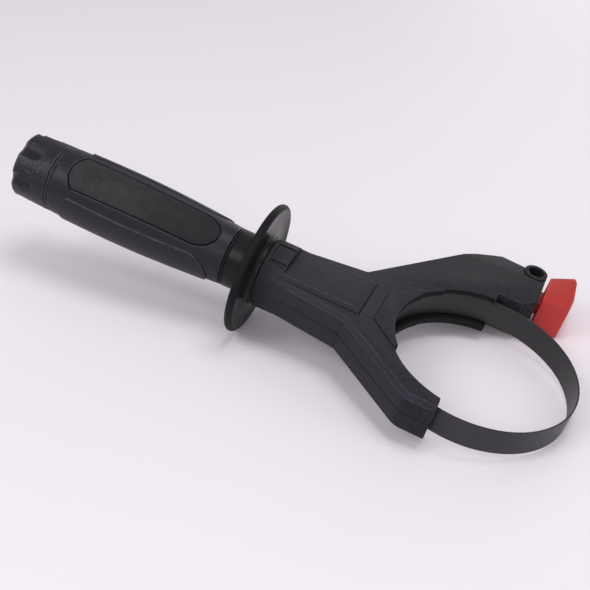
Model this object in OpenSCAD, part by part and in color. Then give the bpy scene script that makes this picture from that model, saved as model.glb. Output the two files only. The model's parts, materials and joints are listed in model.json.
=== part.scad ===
// Side handle with a steel clamp strap, for a large drill or breaker.
// X runs along the handle, with the grip towards -X. Z is the axis of the clamp loop.
// The origin is the centre of the loop, at mid-height of the strap.

/* [Clamp loop] */
// Inner radius of the strap loop
strap_r = 49.4; // [48.4:0.1:50.4]
// Width of the strap, along the loop's axis
strap_w = 14.4; // [10:0.2:15]
// Thickness of the strap
strap_t = 0.8; // [0.6:0.1:1.2]
// Radius of the cradle that rests on the tool's collar
cradle_r = 45.5; // [44:0.5:46.5]
// How far the upper rims of both arms are cut back from the cradle
rim_cut = 2.1; // [0.5:0.1:2.4]
// How far the strap is drawn in from open to tight
draw = 2.5; // [1:0.5:3]

/* [Fork] */
// Thickness of the fork, both shells together
fork_t = 21.6; // [20:0.2:24]
// Width of the stem where its walls come out of the round neck
stem_w = 34.6; // [33:0.2:38]
// Width of the fork where the arms part
junction_w = 44.2; // [42:0.2:48]
// Distance of that junction from the loop's centre
junction_x = 68; // [66.4:0.2:70]
// Distance of the short arm's flat side from the handle's axis
short_arm_y = 55; // [54.6:0.2:58]
// Distance of the short arm's end from the loop's centre
short_arm_end = 9.7; // [6:0.1:14]
// Distance of the long arm's end past the loop's centre
long_arm_end = 15.8; // [15:0.1:17]
// Width of the bevel along the arms
arm_bevel = 2.2; // [0.8:0.1:2.4]
// Width of the bevel along the stem
stem_bevel = 2; // [0.6:0.1:2.2]

/* [Neck and guard] */
// Radius of the round neck and of the guard's hub
neck_r = 18.3; // [17.5:0.1:19]
// Distance of the seam between neck and guard from the loop's centre
neck_x = 115.7; // [113:0.1:118]
// Radius of the hand guard
guard_r = 35.2; // [30:0.1:38]
// Thickness of the guard's disc
guard_t = 4.2; // [3:0.1:5]
// Radius of the collar behind the guard
collar_r = 15.6; // [14.5:0.1:16.4]

/* [Grip] */
// Length of the grip sleeve
grip_len = 100.7; // [95:0.1:110]
// Radius of the sleeve where it is widest
grip_r = 18.6; // [17.8:0.1:20]
// How far the side pads stand proud
pad_rise = 0.8; // [0.3:0.1:1]
// Turn of the grip about its axis
grip_turn = 30; // [0:5:90]
// Depth of the recess that holds an inlay
inlay_t = 1.6; // [1:0.1:2.4]
// Width of the groove round an inlay
groove_w = 0.6; // [0.4:0.1:1]

/* [Knob] */
// Length of the end knob
knob_len = 20.2; // [18.6:0.1:24]
// Radius of the knob at the grip
knob_r = 18; // [17:0.1:18.6]
// Number of finger flutes
flutes = 6; // [4:1:8]
// Length of a flute
flute_len = 12.1; // [8:0.1:14]
// Width of a flute
flute_w = 8.8; // [5:0.2:9]

/* [Rod] */
// Diameter of the tension rod
rod_d = 8; // [6:0.5:8]
// Pitch of the thread on the rod
rod_pitch = 1.25; // [1:0.25:1.5]
// Width across the flats of the knob's nut
nut_af = 13; // [11:0.5:14]

/* [Depth stop] */
// Distance of the depth rod's hole from the loop's centre along X
boss_x = 9.3; // [9:0.1:10]
// Distance of the depth rod's hole from the handle's axis
boss_y = 88.3; // [87:0.1:89]
// Outer radius of the boss
boss_r = 6.5; // [6:0.1:7]
// Width across the flats of the hexagonal hole
rod_hole_af = 8; // [6:0.5:8.5]
// Travel of the release button
press = 1.6; // [0.8:0.1:1.8]
// Length of the button along X
button_len = 15.6; // [13:0.1:18]

/* [Hidden] */
$fn = 96;

// Colours
fork_grey = [0.20, 0.20, 0.21];
grip_grey = [0.19, 0.19, 0.22];
guard_black = [0.07, 0.07, 0.08];
rubber_brown = [0.17, 0.165, 0.16];
strap_black = [0.16, 0.16, 0.17];
steel_grey = [0.62, 0.63, 0.65];
button_red = [0.72, 0.16, 0.15];

// Clearances
run_gap = 0.4;
seam_gap = 0.3;
fit_gap = 0.05;
eps = 0.05;
below = 1;

// Fork
half_t = fork_t / 2;
seam_bevel = 0.35;
plateau_rise = 0.6;
rim_step = 1.4;
stem_start = neck_x - 6.2;
stem_start_w = stem_w - 2.8;
shoulder_x = neck_x - 11.7;

// The neck is round up to the guard and runs on along the stem with a flat back
round_end = neck_x - 11.4;
back_flat = half_t + 2;
back_end = 62.2;
back_slope = 3.8;
neck_pocket_depth = 0.7;
neck_pocket_end = neck_x - 1.8;

// Channel for the strap between the two flanges
slot_h = strap_w / 2 + run_gap;
strap_out = strap_r + strap_t;
channel_r = strap_out + run_gap;

// Strap ends, which turn out of the loop and run back beside the anchor's tongue
tongue_t = 6;
leg_y = tongue_t / 2 + strap_t / 2;
bend_r = 4;
ring_mid = strap_r + strap_t / 2;
bend_y = leg_y + bend_r;
bend_x = -sqrt(pow(ring_mid + bend_r, 2) - bend_y * bend_y);
bend_a = asin(bend_y / (ring_mid + bend_r));
leg_end = -74;

// Anchor
anchor_w = 14;
tongue_x = -60;
anchor_x = -76;
anchor_len = 12;
anchor_back = anchor_x - anchor_len;
rivet_xs = [tongue_x - 4.4, tongue_x - 10.6];
rivet_r = 1.5;
rivet_head_r = 2.7;
rivet_head_t = 0.9;
cavity_y = anchor_w / 2 + run_gap;
cavity_back = anchor_back - draw - 1;

// Grip and its core
guard_x = -neck_x - 7.2;
sleeve_x = -neck_x - 20.1;
sleeve_end = sleeve_x - grip_len;
core_r = 10.5;
spigot_r = 7;
core_bore = rod_d / 2 + 0.6;
core_front = -neck_x + 13;
flange_r = 11;
flange_x = -neck_x + 6;
flange_t = 4;

// Knob
washer_t = 1.5;
washer_r = 9.5;
nut_t = 8;
knob_x = sleeve_end - seam_gap;
knob_end = sleeve_end - knob_len;
washer_x = sleeve_end - washer_t;
nut_x = washer_x - 0.3;
rod_r = rod_d / 2;
thread_depth = 0.61 * rod_pitch;
nut_bore = rod_r + 0.08;
rod_end = nut_x - nut_t - 2;
knob_floor = rod_end - draw - 1;
flute_floor = knob_r - 2.6;
scoop_r = 6.6;
ring_groove = 0.5;

// Depth stop
button_gap = 1.9;
button_x = long_arm_end + button_gap;
catch_w = 12;
catch_y = boss_y - rod_hole_af / 2 - 1;
catch_h = 4;
catch_back = -1;
jaw_len = 6;
jaw_x = boss_x - rod_hole_af / 2 / cos(30) - 0.6;
spring_y = catch_y - catch_w / 2;
spring_r = 2.4;
spring_wire = 0.35;
spring_back = -9.5;
spring_turns = 6;
pocket_back = catch_back - press - 0.3;

// Screws that hold the two shells together
screw_spots = [[-96, 12.5], [-96, -12.5], [-54.5, -25], [-52.5, 28.5], [-33, 60], [6, 63], [-17, 83]];
screw_r = 1.5;
screw_head_r = 2.8;
screw_head_t = 1.9;
screw_seat = -half_t + 4;
screw_tip = half_t - 4.5;

// A lathe along X: profiles are given as [radius, x]
module turned(profile) {
    rotate([0, 90, 0])
        rotate_extrude()
            polygon(profile);
}

module bar_x(r, x0, x1, sides = 96) {
    translate([x0, 0, 0])
        rotate([0, 90, 0])
            cylinder(r = r, h = x1 - x0, $fn = sides);
}

// Points on an arc about c
function arc(c, r, a0, a1, n) = [for (i = [0 : n])
    let (a = a0 + (a1 - a0) * i / n) c + r * [cos(a), sin(a)]];

// A closed outline moved inwards by its own distance on each edge.
// Edge i runs from point i to the next, and the outline is wound anticlockwise.
function unit(v) = v / norm(v);
function inward(a, b) = [-unit(b - a)[1], unit(b - a)[0]];
function meet(p, n0, d0, n1, d1) = let (k = n0[0] * n1[1] - n0[1] * n1[0])
    abs(k) < 0.02 ? p + n1 * d1 : p + [d0 * n1[1] - d1 * n0[1], d1 * n0[0] - d0 * n1[0]] / k;
function inset(pts, d) = let (n = len(pts)) [for (i = [0 : n - 1])
    let (h = (i + n - 1) % n, j = (i + 1) % n)
    meet(pts[i], inward(pts[h], pts[i]), d[h], inward(pts[i], pts[j]), d[i])];

// A slab built from rings of one outline, each ring given as [outline, height].
// Its flat ends are given as convex patches, each a list of the outline's points.
module ringed(rings, patches) {
    n = len(rings[0][0]);
    last = len(rings) - 1;
    points = [for (r = rings, p = r[0]) [p[0], p[1], r[1]]];
    sides = [for (k = [0 : last - 1], i = [0 : n - 1]) let (j = (i + 1) % n, a = k * n, b = a + n)
        each [[a + i, b + i, b + j], [a + i, b + j, a + j]]];
    top = [for (p = patches) [for (k = [len(p) - 1 : -1 : 0]) last * n + p[k]]];
    polyhedron(points, concat(patches, sides, top));
}

// The long arm's bevel runs out towards its tip
bend_bevel = 0.7 * arm_bevel;
tip_bevel = 0.45 * arm_bevel;

// Plan of the fork, without the neck, as [x, y, bevel on the edge that starts here]
fork_plan = [
    [-stem_start, -stem_start_w / 2, stem_bevel],
    [-shoulder_x, -stem_w / 2, stem_bevel],
    [-junction_x, -junction_w / 2, arm_bevel],
    [-28.5, -short_arm_y + 2.7, arm_bevel],
    [-25.6, -short_arm_y + 0.8, arm_bevel],
    [-22.6, -short_arm_y, arm_bevel],
    [-short_arm_end, -short_arm_y, 0.3],
    [-short_arm_end, -cradle_r + 6, 0],
    [-4.5, cradle_r - 6, 0.3],
    [-4.5, strap_out + 3, 0.3],
    [long_arm_end - 7, strap_out + 3, 0.3],
    [long_arm_end, 61.5, 0.3],
    [long_arm_end, boss_y, 0.3],
    [3.6, boss_y + 4.3, 0.5],
    [-11, boss_y + 5.5, tip_bevel],
    [-27.5, 80.6, bend_bevel],
    [-34.5, 73.8, arm_bevel],
    [-junction_x - 3, junction_w / 2 + 1.3, stem_bevel],
    [-shoulder_x, stem_w / 2, stem_bevel],
    [-stem_start, stem_start_w / 2, 0]
];
fork_outline = [for (p = fork_plan) [p[0], p[1]]];
fork_patches = [
    [0, 1, 18, 19],
    [1, 2, 17, 18],
    [2, 7, 8, 17],
    [2, 3, 4, 5, 6, 7],
    [17, 8, 9, 16],
    [9, 10, 11, 12, 13, 14, 15, 16]
];
fork_bevels = [for (p = fork_plan) p[2]];
seam_bevels = [for (p = fork_plan) seam_bevel];

// The flat body of one shell. The shell's pieces reach a little below the parting
// plane and are trimmed to it together.
module shell_slab() {
    ringed([
        [inset(fork_outline, seam_bevels), -2 * below],
        [inset(fork_outline, seam_bevels), 0],
        [fork_outline, seam_bevel],
        [fork_outline, half_t - arm_bevel],
        [inset(fork_outline, fork_bevels), half_t]
    ], fork_patches);
}

// A solid with one outline seen from the side, as wide as the neck
module side_profile(points) {
    rotate([90, 0, 0])
        linear_extrude(2 * neck_r + 2, center = true)
            polygon(points);
}

module neck_shell() {
    intersection() {
        bar_x(neck_r, -neck_x, -round_end);
        side_profile([
            [-neck_x - 1, -below],
            [-round_end + 1, -below],
            [-round_end + 1, neck_r + 1],
            [-neck_x - 1, neck_r + 1]
        ]);
    }
    intersection() {
        bar_x(neck_r, -round_end - eps, -back_end + 1);
        side_profile([
            [-round_end - 1, -below],
            [-back_end, -below],
            [-back_end, half_t],
            [-back_end - back_slope, back_flat],
            [-round_end - 1, back_flat]
        ]);
    }
}

// Shallow pockets in the round top of the neck, moulded straight up
neck_pockets = [[-11.6, -9], [-6.6, 2.6]];

module neck_pocket_cuts() {
    r = 0.9;
    x = -neck_pocket_end;
    for (y = neck_pockets)
        difference() {
            linear_extrude(neck_r + 1)
                polygon(concat(
                    arc([x + r, y[1] - r], r, 90, 180, 4),
                    arc([x + r, y[0] + r], r, 180, 270, 4),
                    [[-round_end + 1, y[0]], [-round_end + 1, y[1]]]
                ));
            bar_x(neck_r - neck_pocket_depth, x - 1, -round_end + 2);
        }
}

// Raised plateau round the crotch, cut by the cradle later
module crotch_plateau() {
    translate([0, 0, half_t - 1])
        linear_extrude(1 + plateau_rise)
            polygon([[-54.7, -12.6], [-37.5, -28.5], [-30, 0], [-37.5, 28.5], [-54.7, 12.6]]);
}

module boss() {
    translate([boss_x, boss_y, 0])
        translate([0, 0, -below])
            cylinder(r = boss_r, h = half_t + below);
}

// The long arm thins towards its outer edge
module long_arm_facet() {
    fall = 2.6;
    run = 15;
    difference() {
        translate([-32, 0, 0])
            rotate([90, 0, 90])
                linear_extrude(60)
                    polygon([[78, half_t], [78 + 2 * run, half_t - 2 * fall], [78 + 2 * run, 20], [78, 20]]);
        translate([boss_x, boss_y, -1])
            cylinder(r = boss_r, h = half_t + 5);
    }
}

// The upper rims of both arms are cut back, and only the crotch keeps the full cradle.
// Each arc has its two angles and its depth.
rim_arcs = [[97, 131, rim_cut], [130, 150, rim_cut - rim_step], [213, 263, rim_cut]];

module rim_relief() {
    reach = 2 * cradle_r;
    for (a = rim_arcs)
        intersection() {
            cylinder(r = cradle_r + a[2], h = fork_t, $fn = 192);
            translate([0, 0, slot_h - 1])
                linear_extrude(fork_t)
                    polygon([[0, 0], reach * [cos(a[0]), sin(a[0])], reach * [cos(a[1]), sin(a[1])]]);
        }
}

// Everything that is hollow in the fork, symmetric about the parting plane
module fork_hollow() {
    cylinder(r = cradle_r, h = 60, center = true, $fn = 192);
    for (x = [0, -draw])
        translate([x, 0, -slot_h])
            cylinder(r = channel_r, h = 2 * slot_h, $fn = 192);
    translate([-draw, -channel_r, -slot_h])
        cube([draw, 2 * channel_r, 2 * slot_h]);
    translate([0, 0, -slot_h])
        linear_extrude(2 * slot_h)
            polygon([[-60, -cavity_y], [-49, -13], [-40, -13], [-40, 13], [-49, 13], [-60, cavity_y]]);
    translate([cavity_back, -cavity_y, -slot_h])
        cube([-59 - cavity_back, 2 * cavity_y, 2 * slot_h]);
    bar_x(core_bore, core_front - 1, cavity_back + 1);
    bar_x(spigot_r + fit_gap, -neck_x - 1, core_front + 0.3);
    bar_x(flange_r + fit_gap, flange_x - 0.1, flange_x + flange_t + 0.1);
    button_pocket();
    translate([boss_x, boss_y, 0])
        cylinder(d = rod_hole_af / cos(30), h = 60, center = true, $fn = 6);
}

module button_pocket() {
    h = catch_h + 0.3;
    translate([pocket_back, catch_y - catch_w - 0.3, -h])
        cube([long_arm_end + 5 - pocket_back, catch_w + 0.6, 2 * h]);
    translate([pocket_back, catch_y - 1, -h])
        cube([boss_x - 3.5 - pocket_back, jaw_len + 1.3, 2 * h]);
    translate([spring_back, spring_y, 0])
        rotate([0, 90, 0])
            cylinder(r = spring_r + spring_wire + 0.4, h = pocket_back - spring_back + 1);
}

module shell_body() {
    difference() {
        union() {
            shell_slab();
            neck_shell();
            crotch_plateau();
            boss();
        }
        neck_pocket_cuts();
        long_arm_facet();
        fork_hollow();
        translate([-neck_x - 5, -short_arm_y - 5, -fork_t])
            cube([neck_x + long_arm_end + 10, short_arm_y + boss_y + 20, fork_t]);
    }
}

module fork_upper_shell() {
    color(fork_grey)
        difference() {
            shell_body();
            rim_relief();
            for (s = screw_spots)
                translate([s[0], s[1], -1])
                    cylinder(r = screw_r + fit_gap, h = screw_tip + 1.3, $fn = 32);
        }
}

module fork_lower_shell() {
    color(fork_grey)
        difference() {
            mirror([0, 0, 1])
                shell_body();
            for (s = screw_spots) {
                translate([s[0], s[1], -fork_t])
                    cylinder(r = screw_r + 0.2, h = fork_t + 1, $fn = 32);
                translate([s[0], s[1], -fork_t])
                    cylinder(r = screw_head_r + 0.3, h = fork_t + screw_seat, $fn = 48);
            }
        }
}

module shell_screws() {
    color(steel_grey)
        for (s = screw_spots)
            translate([s[0], s[1], 0])
                rotate_extrude($fn = 48)
                    polygon([
                        [0, screw_seat - screw_head_t],
                        [screw_head_r - 0.7, screw_seat - screw_head_t],
                        [screw_head_r, screw_seat - screw_head_t + 0.7],
                        [screw_head_r, screw_seat],
                        [screw_r, screw_seat],
                        [screw_r, screw_tip - 1],
                        [0.3, screw_tip]
                    ]);
}

// The strap: a ring, two bends and two legs, cut from one strip
module strap_bend(side) {
    reach = 2 * bend_r;
    translate([bend_x, side * bend_y])
        intersection() {
            difference() {
                circle(r = bend_r + strap_t / 2);
                circle(r = bend_r - strap_t / 2);
            }
            polygon([
                [0, 0],
                [0, -side * reach],
                [reach, -side * reach],
                reach * [cos(bend_a), -side * sin(bend_a)]
            ]);
        }
}

module strap_outline() {
    gap_a = bend_a - 0.1;
    reach = 2 * strap_r;
    difference() {
        circle(r = strap_out, $fn = 256);
        circle(r = strap_r, $fn = 256);
        polygon([[0, 0], reach * [-cos(gap_a), sin(gap_a)], reach * [-cos(gap_a), -sin(gap_a)]]);
    }
    for (side = [-1, 1]) {
        strap_bend(side);
        translate([leg_end, side * leg_y - strap_t / 2])
            square([bend_x - leg_end + 0.02, strap_t]);
    }
}

module rivet_holes() {
    for (x = rivet_xs)
        translate([x, 0, 0])
            rotate([90, 0, 0])
                cylinder(r = rivet_r + fit_gap, h = 2 * anchor_w, center = true, $fn = 32);
}

module strap() {
    color(strap_black)
        difference() {
            translate([0, 0, -strap_w / 2])
                linear_extrude(strap_w)
                    strap_outline();
            rivet_holes();
        }
}

module strap_anchor() {
    color(steel_grey)
        difference() {
            union() {
                translate([anchor_back, -anchor_w / 2, -strap_w / 2])
                    cube([anchor_len, anchor_w, strap_w]);
                translate([anchor_x - 1, -tongue_t / 2, -strap_w / 2])
                    cube([tongue_x - anchor_x + 1, tongue_t, strap_w]);
            }
            bar_x(rod_r + fit_gap, anchor_back - 1, anchor_x - 1);
            rivet_holes();
        }
}

module anchor_rivets() {
    out = tongue_t / 2 + strap_t;
    color(steel_grey)
        for (x = rivet_xs)
            translate([x, 0, 0])
                rotate([90, 0, 0])
                    rotate_extrude($fn = 48)
                        polygon([
                            [0, -out - rivet_head_t],
                            [rivet_head_r - 0.5, -out - rivet_head_t],
                            [rivet_head_r, -out],
                            [rivet_r, -out],
                            [rivet_r, out],
                            [rivet_head_r, out],
                            [rivet_head_r - 0.5, out + rivet_head_t],
                            [0, out + rivet_head_t]
                        ]);
}

module tension_rod() {
    color(steel_grey)
        turned([
            [0, rod_end],
            [rod_r - thread_depth, rod_end],
            [rod_r, rod_end + thread_depth],
            [rod_r, anchor_x - 1 - thread_depth],
            [rod_r - thread_depth, anchor_x - 1],
            [0, anchor_x - 1]
        ]);
}

// Moulded tube that carries the guard and the sleeve, held in the neck by its flange
module grip_core() {
    color(grip_grey)
        turned([
            [core_bore, sleeve_end],
            [core_r, sleeve_end],
            [core_r, sleeve_x],
            [spigot_r, sleeve_x],
            [spigot_r, flange_x],
            [flange_r, flange_x],
            [flange_r, flange_x + flange_t],
            [spigot_r, flange_x + flange_t],
            [spigot_r, core_front],
            [core_bore, core_front]
        ]);
}

// A fine groove round a turned piece, wound towards the knob
function ring_cut(r, x) = [[r, x], [r - ring_groove, x - 0.1], [r - ring_groove, x - 0.6], [r, x - 0.7]];

// Guard: a turned disc with a rounded lip, a hub in front and a collar behind
module hand_guard() {
    lip = guard_t / 2;
    lip_r = guard_r - lip;
    disc_x = guard_x + lip + 0.2;
    web = 1.6;
    color(guard_black)
        turned(concat(
            [[spigot_r + fit_gap, -neck_x - seam_gap], [neck_r - 0.6, -neck_x - seam_gap]],
            [[neck_r, -neck_x - seam_gap - 0.6], [neck_r, disc_x + web + 1.6]],
            [for (a = [0 : 15 : 75]) [neck_r + 3 - 3 * cos(a), disc_x + web + 1.6 - 1.9 * sin(a)]],
            [[lip_r - 4, disc_x + web - 0.4]],
            [for (a = [110 : -20 : -110]) [lip_r + lip * cos(a), disc_x + lip * sin(a)]],
            [[lip_r - 4, disc_x - web + 0.4], [collar_r + 3, disc_x - web]],
            [for (a = [90 : 15 : 180]) [collar_r + 3 + 3 * cos(a), disc_x - web - 3 + 3 * sin(a)]],
            ring_cut(collar_r, sleeve_x + seam_gap + 1.8),
            [[collar_r, sleeve_x + seam_gap + 0.4], [collar_r - 0.4, sleeve_x + seam_gap]],
            [[spigot_r + fit_gap, sleeve_x + seam_gap]]
        ));
}

// Radius of the sleeve at a distance s behind its front end, less a depth
sleeve_belly = 64;
sleeve_back_r = knob_r;
function sleeve_radius(s) = s < sleeve_belly
    ? collar_r + (grip_r - collar_r) * sin(90 * s / sleeve_belly)
    : grip_r - (grip_r - sleeve_back_r) * pow((s - sleeve_belly) / (grip_len - sleeve_belly), 2);
sleeve_steps = 24;
function sleeve_profile(add) = [for (i = [0 : sleeve_steps - 1]) let (s = grip_len * i / sleeve_steps)
    [sleeve_radius(s) + add, sleeve_x - s]];

module sleeve_solid(add) {
    turned(concat(
        [[0, sleeve_x]],
        sleeve_profile(add),
        ring_cut(sleeve_back_r + add, sleeve_end + 2),
        [[sleeve_back_r + add, sleeve_end], [0, sleeve_end]]
    ));
}

patch_front = 6.2;
patch_nose = 13;
patch_back = 13;
patch_bow = 4.2;
patch_taper = 0.93;

// Outline of an inlay or pad, seen square on: a long tapering patch with a
// rounded nose towards the guard and a bowed end towards the knob
module patch(half_w, shrink) {
    tip = sleeve_x - patch_front - shrink;
    nose = patch_nose - shrink / 2;
    back = sleeve_end + patch_back + shrink;
    w = half_w - shrink;
    polygon(concat(
        [for (a = [-90 : 10 : 90]) [tip - nose + nose * cos(a), patch_taper * w * sin(a)]],
        [for (a = [1 : -0.125 : -1]) [back - patch_bow * (1 - a * a), w * a]]
    ));
}

module patch_prism(turn, half_w, shrink) {
    rotate([turn, 0, 0])
        linear_extrude(40)
            patch(half_w, shrink);
}

inlay_half = 10.1;
pad_half = 12.4;

module grip_sleeve() {
    color(grip_grey)
        difference() {
            union() {
                sleeve_solid(0);
                for (turn = [0, 180])
                    intersection() {
                        sleeve_solid(pad_rise);
                        patch_prism(grip_turn + 90 + turn, pad_half, 0);
                    }
            }
            for (turn = [0, 180])
                difference() {
                    patch_prism(grip_turn + turn, inlay_half, 0);
                    sleeve_solid(-inlay_t);
                }
            bar_x(core_r + fit_gap, sleeve_end - 1, sleeve_x + 1);
        }
}

module grip_inlay(turn) {
    color(rubber_brown)
        difference() {
            intersection() {
                sleeve_solid(0.15);
                patch_prism(grip_turn + turn, inlay_half, groove_w);
            }
            sleeve_solid(-inlay_t);
        }
}

module grip_inlay_top() {
    grip_inlay(0);
}

module grip_inlay_bottom() {
    grip_inlay(180);
}

module thrust_washer() {
    color(steel_grey)
        turned([
            [core_bore, washer_x],
            [washer_r, washer_x],
            [washer_r, sleeve_end],
            [core_bore, sleeve_end]
        ]);
}

module knob_nut() {
    color(steel_grey)
        translate([nut_x - nut_t, 0, 0])
            rotate([0, 90, 0])
                difference() {
                    cylinder(d = nut_af / cos(30), h = nut_t, $fn = 6);
                    translate([0, 0, -1])
                        cylinder(r = nut_bore, h = nut_t + 2);
                }
}

// A finger flute: a round scoop with a steep end, open towards the knob's end
module flute_cut() {
    x0 = knob_end - 3;
    x1 = knob_end + flute_len;
    r = 3;
    w = flute_w / 2;
    intersection() {
        translate([0, 0, flute_floor - 1])
            linear_extrude(10)
                polygon(concat(
                    [[x0, -w]],
                    arc([x1 - r, -w + r], r, -90, 0, 6),
                    arc([x1 - r, w - r], r, 0, 90, 6),
                    [[x0, w]]
                ));
        translate([0, 0, flute_floor + scoop_r])
            bar_x(scoop_r, x0 - 1, x1 + 1);
    }
}

module end_knob() {
    color(grip_grey)
        difference() {
            turned(concat(
                [[0, knob_x], [knob_r - 0.5, knob_x], [knob_r, knob_x - 0.5]],
                [[knob_r - 0.3, knob_x - 10], [knob_r - 0.6, knob_end + 1.6]],
                [for (a = [15 : 25 : 90]) [knob_r - 1.9 + 1.3 * cos(a), knob_end + 1.3 - 1.3 * sin(a)]],
                [[10, knob_end], [9.4, knob_end + 0.6], [0, knob_end + 0.6]]
            ));
            for (i = [0 : flutes - 1])
                rotate([grip_turn + i * 360 / flutes, 0, 0])
                    flute_cut();
            bar_x(washer_r + run_gap, washer_x - 0.3, sleeve_end + 1);
            bar_x(rod_r + 0.6, knob_floor, sleeve_end + 1);
            translate([nut_x - nut_t, 0, 0])
                rotate([0, 90, 0])
                    cylinder(d = (nut_af + 2 * fit_gap) / cos(30), h = nut_t + 1, $fn = 6);
        }
}

// Release button with its catch, which reaches past the depth rod's hole
button_plan = concat(
    [[button_x, 64.5]],
    [[button_x + button_len - 3.4, 66.8]],
    arc([button_x + button_len - 3.3, 69.8], 3, -60, 0, 4),
    [[button_x + button_len + 0.1, 78]],
    [[button_x + button_len - 1.2, 95.6]],
    [[button_x + button_len - 2.8, 99]],
    [[button_x, 88.9]]
);
button_edge = 0.5;
button_insets = [for (p = button_plan) button_edge];

module release_button() {
    color(button_red)
        union() {
            ringed([
                [inset(button_plan, button_insets), -half_t],
                [button_plan, -half_t + button_edge],
                [button_plan, half_t - button_edge],
                [inset(button_plan, button_insets), half_t]
            ], [[for (i = [0 : len(button_plan) - 1]) i]]);
            translate([catch_back, catch_y - catch_w, -catch_h])
                cube([button_x + 1 - catch_back, catch_w, 2 * catch_h]);
            translate([catch_back, catch_y - 1, -catch_h])
                cube([jaw_x - catch_back, jaw_len + 1, 2 * catch_h]);
        }
}

// Coil spring behind the catch, swept as one tube
module button_spring() {
    steps = 10;
    around = 6;
    n = spring_turns * steps;
    length = catch_back - spring_back - 2 * spring_wire;
    points = [for (i = [0 : n], j = [0 : around - 1])
        let (a = 360 * i / steps, b = 360 * j / around, r = spring_r + spring_wire * cos(b))
        [spring_back + spring_wire + length * i / n + spring_wire * sin(b), spring_y + r * cos(a), r * sin(a)]];
    sides = [for (i = [0 : n - 1], j = [0 : around - 1])
        let (k = (j + 1) % around, a = i * around, b = a + around)
        each [[a + j, b + j, b + k], [a + j, b + k, a + k]]];
    color(steel_grey)
        polyhedron(points, concat(
            [[for (j = [0 : around - 1]) j]],
            sides,
            [[for (j = [around - 1 : -1 : 0]) n * around + j]]
        ));
}

fork_upper_shell();
fork_lower_shell();
shell_screws();
strap();
strap_anchor();
anchor_rivets();
tension_rod();
grip_core();
hand_guard();
grip_sleeve();
grip_inlay_top();
grip_inlay_bottom();
thrust_washer();
knob_nut();
end_knob();
release_button();
button_spring();
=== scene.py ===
# %% [markdown]
# # A side handle for a large drill
# The handle lies on a pale table. Its solids come from the imported model, which is the fixed
# frame of this scene: every size and place is already right there, in metres. What is left
# to do here is what a moulder, a painter and a few years of use do to such a handle: soft
# edges, grain, dust and scuffs, and the small things such as screw recesses. Some light and
# shade is painted into the colours too: a sheen on the bevels, and shade in corners and hollows.

# %% Load the imported handle
import json
import math
import random

import bmesh
import bpy
from mathutils import Matrix, Vector

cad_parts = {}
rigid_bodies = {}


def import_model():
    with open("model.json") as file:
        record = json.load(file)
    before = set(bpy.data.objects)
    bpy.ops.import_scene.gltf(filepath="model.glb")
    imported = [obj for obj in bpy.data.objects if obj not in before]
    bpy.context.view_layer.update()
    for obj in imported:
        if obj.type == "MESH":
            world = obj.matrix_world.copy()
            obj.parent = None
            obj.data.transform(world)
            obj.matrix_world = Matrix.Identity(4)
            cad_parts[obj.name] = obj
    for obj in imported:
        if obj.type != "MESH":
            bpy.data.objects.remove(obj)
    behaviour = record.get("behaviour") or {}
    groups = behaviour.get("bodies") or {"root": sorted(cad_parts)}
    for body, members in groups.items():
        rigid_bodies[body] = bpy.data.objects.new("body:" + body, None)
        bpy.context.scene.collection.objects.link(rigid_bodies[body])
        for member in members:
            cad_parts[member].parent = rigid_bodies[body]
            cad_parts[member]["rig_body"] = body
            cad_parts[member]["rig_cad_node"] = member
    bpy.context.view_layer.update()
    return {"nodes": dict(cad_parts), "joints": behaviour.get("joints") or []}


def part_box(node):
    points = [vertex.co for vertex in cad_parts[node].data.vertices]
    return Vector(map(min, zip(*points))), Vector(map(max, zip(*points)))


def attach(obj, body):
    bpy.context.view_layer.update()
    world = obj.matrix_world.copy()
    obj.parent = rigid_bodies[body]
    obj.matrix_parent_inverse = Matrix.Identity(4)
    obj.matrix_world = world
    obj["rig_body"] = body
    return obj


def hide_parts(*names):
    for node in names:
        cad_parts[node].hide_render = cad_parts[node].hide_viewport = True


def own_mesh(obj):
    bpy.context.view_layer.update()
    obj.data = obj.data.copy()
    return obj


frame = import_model()

# %% [markdown]
# ## The camera
# The picture was taken from above the clamp loop, with a normal lens. A camera looks along
# its own -Z, with +Y up in the picture, so three directions are enough to place it: where
# the picture's right side points, where its top points, and where the lens looks from.

# %% Camera
eye = Vector((-0.01234, -0.42353, 0.31641))
picture_right = Vector((0.89767, 0.36714, 0.24370))
picture_up = Vector((-0.41096, 0.49787, 0.76370))
lens_mm = 64.48


def place_camera():
    data = bpy.data.cameras.new("table_camera")
    data.lens = lens_mm
    data.sensor_width = 36
    data.clip_start, data.clip_end = 0.01, 20
    camera = bpy.data.objects.new("table_camera", data)
    bpy.context.scene.collection.objects.link(camera)
    back = picture_right.cross(picture_up).normalized()
    turn = Matrix((picture_right, picture_up, back)).transposed()
    camera.matrix_world = Matrix.Translation(eye) @ turn.to_4x4()
    bpy.context.scene.camera = camera
    return camera


camera = place_camera()
print("camera at", [round(v, 3) for v in camera.location], "lens", lens_mm)

# %% [markdown]
# ## The table
# The handle rests on the rim of its guard, on the strap's far edge and on the button's
# corner, so the table is a little tilted in the handle's own frame. Its tilt is given, and
# its height is found: it touches the lowest point of the handle along its own normal.

# %% Table
table_up = Vector((-0.1605, 0.013, 1)).normalized()


def lowest_along(direction):
    return min(direction.dot(v.co) for o in frame["nodes"].values() for v in o.data.vertices)


def clear_selection():
    if bpy.context.object and bpy.context.object.mode != "OBJECT":
        bpy.ops.object.mode_set(mode="OBJECT")
    bpy.ops.object.select_all(action="DESELECT")


def lay_table():
    clear_selection()
    height = lowest_along(table_up)
    bpy.ops.mesh.primitive_plane_add(size=6, location=table_up * height)
    table = bpy.context.active_object
    table.name = "table"
    table.rotation_mode = "QUATERNION"
    table.rotation_quaternion = table_up.to_track_quat("Z", "Y")
    return table, height


table, table_height = lay_table()
print("table lies", round(table_height * 1000, 2), "mm along its normal")

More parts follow.
